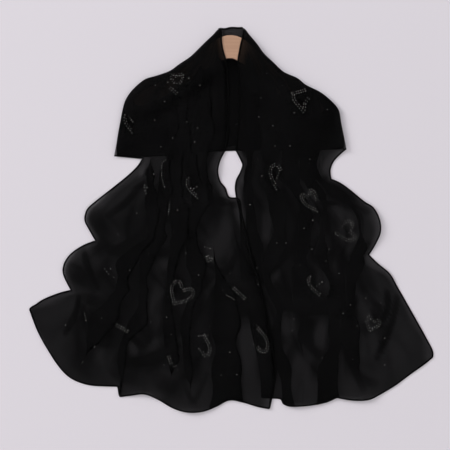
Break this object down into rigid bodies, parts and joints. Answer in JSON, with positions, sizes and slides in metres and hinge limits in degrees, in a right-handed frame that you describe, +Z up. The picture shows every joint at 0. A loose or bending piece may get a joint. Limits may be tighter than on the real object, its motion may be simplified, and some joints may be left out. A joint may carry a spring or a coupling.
{
  "type": "hijab shawl laid flat on a wooden hanger",
  "caption": "Sheer black chiffon hijab shawl laid flat round a plain wooden hanger, its ends folded forward and fanned out to ruffled, scalloped hems.",
  "frame": {"origin": "middle of the laid-out shawl's outline, on the table that it rests on", "axes": "+Z up off the table, towards the viewer; +Y towards the neck; +X to the viewer's right"},
  "size_m": [0.918, 0.8758, 0.0163],
  "materials": {
    "chiffon": "sheer matte chiffon",
    "wood": "satin varnish"
  },
  "bodies": {
    "root": {"back_stretch": "chiffon", "left_front": "chiffon", "right_front": "chiffon", "hanger": "wood"}
  },
  "joints": []
}
